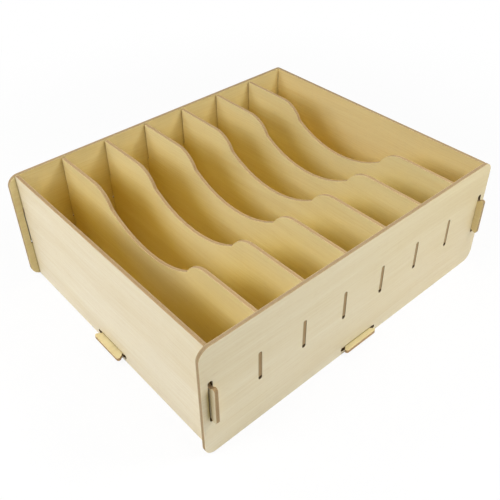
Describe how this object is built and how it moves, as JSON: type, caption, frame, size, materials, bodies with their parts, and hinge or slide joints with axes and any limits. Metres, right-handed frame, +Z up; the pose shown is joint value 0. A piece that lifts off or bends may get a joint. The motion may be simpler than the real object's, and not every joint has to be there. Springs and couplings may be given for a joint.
{
  "type": "compartment storage box",
  "caption": "Open desk box of slotted wood-grain boards, divided into equal upright compartments with scooped dividers; hooks and tabs hold the boards together.",
  "frame": {"origin": "middle of the box's footprint, on the surface it stands on", "axes": "+X along the front panel to the right, +Y from front to back, +Z up"},
  "size_m": [0.31, 0.2612, 0.105],
  "materials": {
    "laminated_board": "satin pale wood-grain laminate on both faces, bare brown cut edges"
  },
  "bodies": {
    "root": {"front_panel": "laminated_board", "back_panel": "laminated_board", "left_side_panel": "laminated_board", "right_side_panel": "laminated_board", "base_panel": "laminated_board", "divider_1": "laminated_board", "divider_2": "laminated_board", "divider_3": "laminated_board", "divider_4": "laminated_board", "divider_5": "laminated_board", "divider_6": "laminated_board"}
  },
  "joints": []
}
